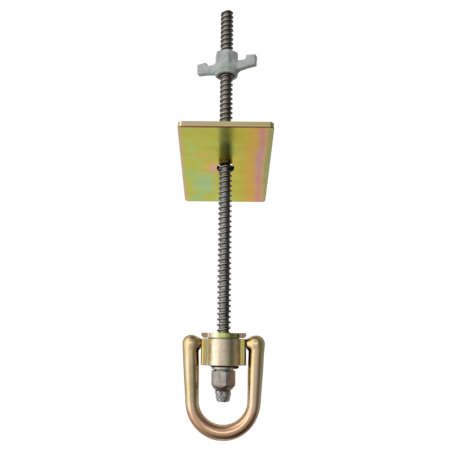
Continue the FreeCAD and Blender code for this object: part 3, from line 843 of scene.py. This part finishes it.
def plain_steel():
    """Hex nut: machined steel with a light rust tint, bluish near its top face, darker bottom cone."""
    look = Look("plain_steel_nut", 1.0, 0.36)
    x, _, z = look.axes()
    streaks = look.noise(170, 4, 0.6, 0.2, look.stretched((1, 1, 0.3)))
    colour = look.ramp(streaks, (0.30, (0.25, 0.205, 0.17)), (0.48, (0.43, 0.385, 0.335)),
                       (0.62, (0.53, 0.475, 0.42)), (0.76, (0.37, 0.28, 0.22)))
    # Painted shade: the nut's left side darker.
    colour = look.mix(look.spread(x, -0.0132, -0.0108, 0.6, 0), colour, (0.26, 0.215, 0.18))
    blue = look.times(look.spread(z, -0.0470, -0.0405), look.spread(look.noise(140, 2, 0.5), 0.40, 0.56))
    colour = look.tinted(colour, blue, 0.8, (0.27, 0.35, 0.40))
    cone = look.falling(z, -0.0555, -0.0535)
    colour = look.tinted(colour, cone, 0.65, (0.20, 0.165, 0.14))
    rough = look.varied(look.noise(240, 3, 0.6), 0.28, 0.46)
    normal = look.bump(look.noise(700, 3, 0.6), 0.2, 0.0003, look.bump(look.noise(140, 2, 0.5), 0.15, 0.0006))
    return look.finish(colour, rough, normal)


def weld_metal():
    """Weld: bright grey metal run downwards, dark slag in the hollows, and painted shadow in the neck under
    the nut.
    """
    look = Look("weld_metal", 1.0, 0.34)
    z = look.axes()[2]
    spots = look.noise(230, 4, 0.65, 0.5, look.stretched((1, 1, 0.4)))
    colour = look.ramp(spots, (0.34, (0.12, 0.12, 0.12)), (0.48, (0.50, 0.50, 0.49)),
                       (0.62, (0.86, 0.85, 0.83)))
    # Painted shadow: the neck just under the nut darkened to near black.
    neck = look.spread(z, -0.0618, -0.0608)
    colour = look.tinted(colour, neck, 0.85, (0.05, 0.045, 0.04))
    rough = look.varied(spots, 0.5, 0.26)
    normal = look.bump(look.noise(600, 3, 0.6), 0.4, 0.0005)
    return look.finish(colour, rough, normal)


def black_phosphate():
    """Retaining ring."""
    look = Look("black_phosphate", 0.9, 0.45)
    colour = look.ramp(look.noise(300, 3, 0.6), (0.35, (0.015, 0.014, 0.013)), (0.65, (0.05, 0.045, 0.04)))
    return look.finish(colour, look.varied(look.noise(500, 3, 0.6), 0.35, 0.6),
                       look.bump(look.noise(1200, 2, 0.6), 0.2, 0.0002))


def bright_zinc():
    """Upper washer."""
    look = Look("bright_zinc", 1.0, 0.3)
    colour = look.ramp(look.noise(200, 3, 0.6), (0.35, (0.34, 0.32, 0.29)), (0.65, (0.46, 0.43, 0.39)))
    return look.finish(colour, look.varied(look.noise(400, 3, 0.6), 0.22, 0.4),
                       look.bump(look.noise(900, 2, 0.6), 0.15, 0.0002))


# ---------------------------------------------------------------- building the pieces

# Name, body, CAD node, field, grid step in millimetres, material slot, material.
FIELDS = [
    ("wing_nut_casting", "wing_nut", "wing_nut", wing_nut_field, 0.42,
     "galvanised_casting", galvanised_casting),
    ("bail_forging", "bail", "bail", bail_field, 0.62, "yellow_zinc_forging", forged_chromate),
    ("housing_barrel_and_ears", "swivel_housing", "swivel_housing", housing_field, 0.30,
     "yellow_zinc_forging", machined_chromate),
    ("bushing_with_flange", "anchor_rod", "flanged_bushing", bushing_field, 0.42,
     "yellow_zinc_flange", flange_chromate),
    ("hex_nut_chamfered", "anchor_rod", "hex_nut", hex_nut_field, 0.34, "plain_steel", plain_steel),
    ("end_weld_lumps", "anchor_rod", "end_weld", weld_field, 0.30, "weld_metal", weld_metal),
]
for name, body, node, field, step, slot, make_material in FIELDS:
    low, high = span(node)
    points, faces, slope = surface_net(field, low, high, step * COARSE)
    normals = slope / np.maximum(np.linalg.norm(slope, axis=1), 1e-9)[:, None]
    piece(name, body, inside_box(points, node), faces, [node], make_material(), normals)

points, faces = coil_rod_mesh()
piece("coil_rod_thread", "anchor_rod", inside_box(points, "coil_rod"), faces, ["coil_rod"],
      rolled_steel())

for node, material in (("bearing_plate", plate_chromate()), ("upper_washer", bright_zinc()),
                       ("retaining_ring", black_phosphate())):
    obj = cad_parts[node]
    obj.data.materials.clear()
    obj.data.materials.append(material)


# ---------------------------------------------------------------- floor, light and camera

FLOOR_DROP = 0.55  # metres below the object
FLOOR_HALF = 3.0
floor_z = CAD_BOX[0][2] - FLOOR_DROP
floor_corners = [(x * FLOOR_HALF, y * FLOOR_HALF, floor_z) for x, y in ((-1, -1), (1, -1), (1, 1), (-1, 1))]
floor_mesh = bpy.data.meshes.new("floor")
floor_mesh.from_pydata(floor_corners, [], [(0, 1, 2, 3)])
floor = bpy.data.objects.new("floor", floor_mesh)
bpy.context.scene.collection.objects.link(floor)
floor_look = Look("pale_floor", 0.0, 0.9)
floor_mesh.materials.append(floor_look.finish(floor_look.ramp(
    floor_look.noise(3, 2), (0.4, (0.92, 0.92, 0.92)), (0.6, (0.94, 0.94, 0.94)))))
floor.visible_glossy = False  # the floor neither shows in the metal nor lights the object
floor.visible_diffuse = False

# What shiny surfaces reflect, as (degrees, level) points.
# Azimuth: 0 is in front of the object, where the photo's camera is, -90 left, 90 right, 180 behind.
AROUND = [(-180, 0.95), (-135, 0.70), (-105, 0.70), (-85, 0.95), (-66, 1.50), (-42, 1.40), (-28, 0.75),
          (-10, 0.58), (10, 0.53), (22, 0.42), (36, 0.23), (50, 0.11), (62, 0.12), (78, 0.23), (98, 0.33),
          (122, 0.45), (180, 0.95)]
# Elevation, in front and behind: -90 below, 90 above. They multiply the level around.
FRONT_UP = [(-90, 0.14), (-60, 0.18), (-45, 0.30), (-28, 0.65), (-12, 1.0), (35, 1.0), (60, 0.82), (78, 0.38),
            (90, 0.25)]
BACK_UP = [(-90, 0.5), (-70, 0.9), (-50, 1.05), (-20, 1.0), (30, 1.0), (70, 0.6), (90, 0.3)]
BEHIND = [(0, 0), (85, 0), (140, 1), (180, 1)]  # by azimuth to either side, how much of BACK_UP counts
# What lights matte surfaces: a level, how much brighter the left is, and how much brighter above is.
DIFFUSE_LEVEL = 0.60
DIFFUSE_SIDE = 0.45
DIFFUSE_UP = 0.22


def studio_world():
    """The surroundings: plain white for the camera; for matte surfaces a soft light from the upper left;
    for shiny ones a studio, with a softbox front left, dark at the right and a light backdrop behind."""
    world = bpy.data.worlds.new("studio")
    bpy.context.scene.world = world
    world.use_nodes = True
    tree = world.node_tree
    tree.nodes.clear()

    def node(kind, **settings):
        made = tree.nodes.new(kind)
        for key, value in settings.items():
            setattr(made, key, value)
        return made

    def put(socket, value):
        if isinstance(value, bpy.types.NodeSocket):
            tree.links.new(value, socket)
        else:
            socket.default_value = value

    def maths(operation, a, b=0.0):
        made = node("ShaderNodeMath", operation=operation)
        put(made.inputs[0], a)
        put(made.inputs[1], b)
        return made.outputs[0]

    def graph(value, low, high, points, peak):
        """A curve through (position, level) points; levels up to peak."""
        scaled = node("ShaderNodeMapRange")
        put(scaled.inputs["Value"], value)
        put(scaled.inputs["From Min"], low)
        put(scaled.inputs["From Max"], high)
        ramp = node("ShaderNodeValToRGB")
        ramp.color_ramp.interpolation = "EASE"
        while len(ramp.color_ramp.elements) < len(points):
            ramp.color_ramp.elements.new(0.5)
        for element, (place, level) in zip(ramp.color_ramp.elements, points):
            element.position = (place - low) / (high - low)
            element.color = (level / peak, level / peak, level / peak, 1)
        tree.links.new(scaled.outputs[0], ramp.inputs[0])
        return maths("MULTIPLY", ramp.outputs[0], peak)

    def blend(fac, a, b):
        return maths("ADD", maths("MULTIPLY", maths("SUBTRACT", 1.0, fac), a), maths("MULTIPLY", fac, b))

    split = node("ShaderNodeSeparateXYZ")
    tree.links.new(node("ShaderNodeTexCoord").outputs["Generated"], split.inputs[0])
    x, y, z = split.outputs
    azimuth = maths("MULTIPLY", maths("ARCTAN2", x, maths("MULTIPLY", y, -1.0)), 180 / math.pi)
    elevation = maths("MULTIPLY", maths("ARCSINE", z), 180 / math.pi)
    around = graph(azimuth, -180, 180, AROUND, 2.0)
    front = graph(elevation, -90, 90, FRONT_UP, 1.0)
    back = graph(elevation, -90, 90, BACK_UP, 2.0)
    behind = graph(maths("ABSOLUTE", azimuth), 0, 180, BEHIND, 1.0)
    level = maths("MULTIPLY", around, blend(behind, front, back))
    studio = node("ShaderNodeBackground")
    put(studio.inputs["Color"], (1, 1, 1, 1))
    put(studio.inputs["Strength"], level)
    seen = node("ShaderNodeBackground")
    put(seen.inputs["Color"], (1, 1, 1, 1))
    choose = node("ShaderNodeMixShader")
    path = node("ShaderNodeLightPath")
    soft = node("ShaderNodeBackground")
    put(soft.inputs["Color"], (1, 1, 1, 1))
    sideways = maths("SUBTRACT", DIFFUSE_LEVEL, maths("MULTIPLY", x, DIFFUSE_SIDE))
    put(soft.inputs["Strength"], maths("ADD", sideways, maths("MULTIPLY", z, DIFFUSE_UP)))
    matte = node("ShaderNodeMixShader")
    tree.links.new(path.outputs["Is Diffuse Ray"], matte.inputs[0])
    tree.links.new(studio.outputs[0], matte.inputs[1])
    tree.links.new(soft.outputs[0], matte.inputs[2])
    tree.links.new(path.outputs["Is Camera Ray"], choose.inputs[0])
    tree.links.new(matte.outputs[0], choose.inputs[1])
    tree.links.new(seen.outputs[0], choose.inputs[2])
    tree.links.new(choose.outputs[0], node("ShaderNodeOutputWorld").inputs[0])


studio_world()


def softbox(name, place, width, height, power, only=None):
    """A rectangular light facing the origin, which lights one object only if told so."""
    lamp = bpy.data.lights.new(name, "AREA")
    lamp.shape = "RECTANGLE"
    lamp.size = width
    lamp.size_y = height
    lamp.energy = power
    obj = bpy.data.objects.new(name, lamp)
    bpy.context.scene.collection.objects.link(obj)
    obj.location = place
    obj.rotation_euler = (Vector((0, 0, 0)) - Vector(place)).to_track_quat("-Z", "Y").to_euler()
    if only is not None:
        lit = bpy.data.collections.new(name + "_lights")
        lit.objects.link(only)
        obj.light_linking.receiver_collection = lit


softbox("front_strip", (-0.25, -1.2, 0.22), width=0.9, height=0.22, power=1.1)
softbox("floor_wash", (0, 0, 3.0), width=8.0, height=8.0, power=900, only=floor)

# The photo's camera, fitted: metres, degrees and pixels.
CAMERA_PLACE = (0.0001, -0.619, 0.0)
CAMERA_UP = 11.1
CAMERA_ROLL = 0.6
FOCAL_PIXELS = 550.0
PICTURE = 450.0
SENSOR = 36.0
camera_data = bpy.data.cameras.new("camera")
camera_data.sensor_width = SENSOR
camera_data.lens = SENSOR * FOCAL_PIXELS / PICTURE
camera = bpy.data.objects.new("camera", camera_data)
bpy.context.scene.collection.objects.link(camera)
camera.location = CAMERA_PLACE
camera.rotation_mode = "ZYX"
camera.rotation_euler = (math.radians(90 + CAMERA_UP), 0.0, math.radians(CAMERA_ROLL))
bpy.context.scene.camera = camera
bpy.context.scene.view_settings.view_transform = "Standard"
